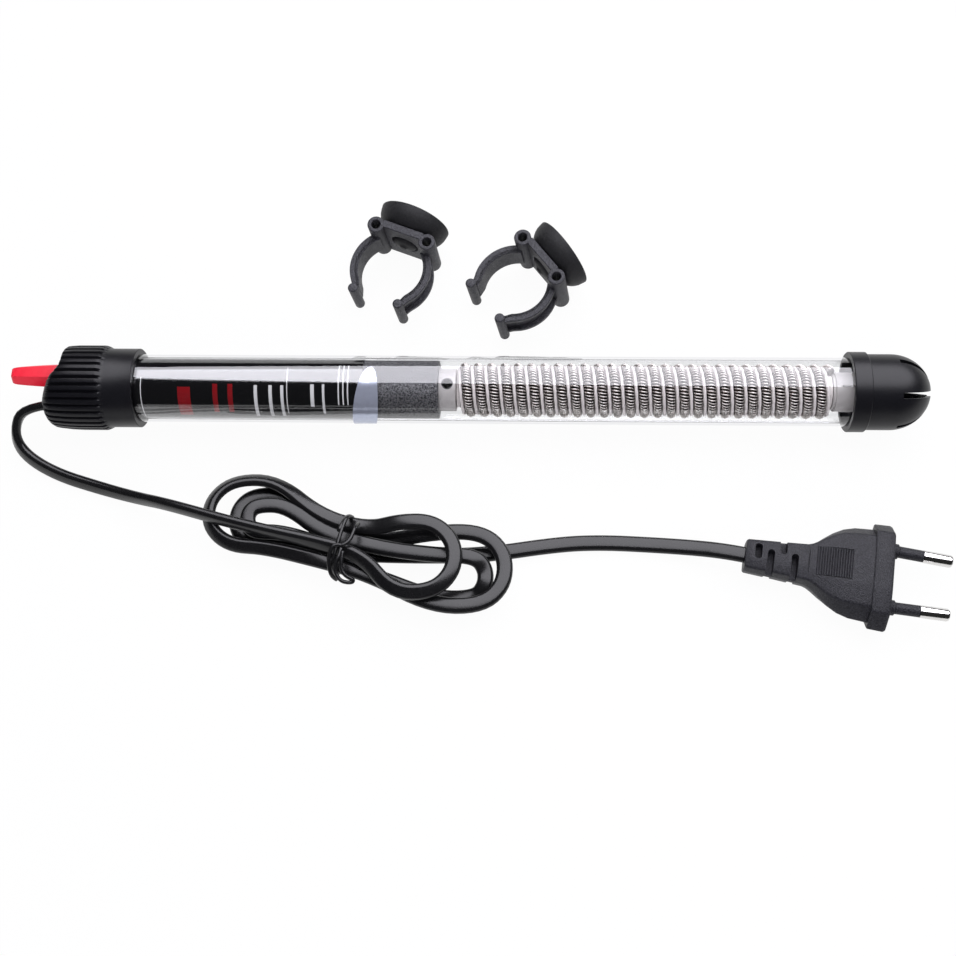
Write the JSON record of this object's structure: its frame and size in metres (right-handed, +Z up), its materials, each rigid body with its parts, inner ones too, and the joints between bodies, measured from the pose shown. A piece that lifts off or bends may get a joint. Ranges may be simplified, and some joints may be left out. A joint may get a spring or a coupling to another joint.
{
  "type": "submersible aquarium heater",
  "caption": "Glass tube aquarium heater with a ribbed head cap, red setting knob, coil on a ceramic core, slotted end guard, mains cord with a flat plug, and suction cup holders.",
  "frame": {"origin": "on the glass tube's axis, halfway along the bare glass between the head cap and the end guard", "axes": "+X along the tube to the end guard, +Z up from the table it lies on"},
  "size_m": [0.3069, 0.1485, 0.028],
  "materials": {
    "cap_plastic": "fine satin, moulded",
    "glass": "clear, polished",
    "black_rubber": "soft matt",
    "red_plastic": "glossy",
    "brass": "turned",
    "printed_black": "smooth, dark",
    "dark_can": "dark grey, smooth",
    "silver_foil": "foil",
    "mica_board": "matt",
    "spring_steel": "brushed",
    "silver_contact": "bright",
    "bimetal": "rolled",
    "magnet": "dark, sintered",
    "wire_coating": "brown, insulating",
    "lamp_glass": "orange glow lamp",
    "resistor_body": "lacquered",
    "capacitor_body": "dipped",
    "ceramic": "unglazed, off-white",
    "heating_wire": "fine coiled wire",
    "cord_black": "smooth, soft sheen",
    "tie_black": "twisted wire in plastic",
    "plug_plastic": "moulded",
    "plated_pin": "bright plated",
    "clip_plastic": "moulded, slightly worn"
  },
  "bodies": {
    "heater": {"glass_tube": "glass", "head_cap": "cap_plastic", "glass_stopper": "black_rubber", "spindle_seal": "black_rubber", "cord_grip": "black_rubber", "label_sleeve": "printed_black", "thermostat_shield": "dark_can", "seal_sticker": "silver_foil", "thermostat_frame": "mica_board", "setting_bracket": "spring_steel", "contact_leaf": "spring_steel", "contact_points": "silver_contact", "bimetal_strip": "bimetal", "bimetal_post": "mica_board", "contact_magnet": "magnet", "supply_leads": "wire_coating", "terminals": "brass", "indicator_lamp": "lamp_glass", "lamp_resistor": "resistor_body", "capacitor": "capacitor_body", "core_mount": "ceramic", "core_rivet": "spring_steel", "ceramic_core": "ceramic", "return_wire": "heating_wire", "heating_coil": "heating_wire", "core_end_block": "ceramic", "end_guard": "cap_plastic", "plug_body": "plug_plastic", "plug_pins": "plated_pin", "pin_sleeves": "plug_plastic", "cord_lead": "cord_black", "cord_hank": "cord_black", "cord_tail": "cord_black", "hank_tie": "tie_black"},
    "knob": {"knob": "red_plastic", "knob_spindle": "brass", "setting_screw": "brass"},
    "clip_a": {"clip_a": "clip_plastic"},
    "clip_b": {"clip_b": "clip_plastic"},
    "cup_a": {"suction_cup_a": "black_rubber"},
    "cup_b": {"suction_cup_b": "black_rubber"}
  },
  "joints": [
    {"name": "knob_turn", "type": "hinge", "parent": "heater", "child": "knob", "pos_m": [-0.15, 0.0043, 0], "axis": [1, 0, 0], "range_deg": [-135, 135]},
    {"name": "clip_a_lift", "type": "slide", "parent": "heater", "child": "clip_a", "axis": [0, 0, 1], "range_m": [0, 0.05]},
    {"name": "cup_a_turn", "type": "hinge", "parent": "clip_a", "child": "cup_a", "pos_m": [-0.03008, 0.05828, -0.00271], "axis": [0.363, 0.9216, 0.137], "continuous": true},
    {"name": "clip_b_lift", "type": "slide", "parent": "heater", "child": "clip_b", "axis": [0, 0, 1], "range_m": [0, 0.05]},
    {"name": "cup_b_turn", "type": "hinge", "parent": "clip_b", "child": "cup_b", "pos_m": [0.01816, 0.04819, -0.00271], "axis": [0.789, 0.5989, 0.137], "continuous": true}
  ]
}
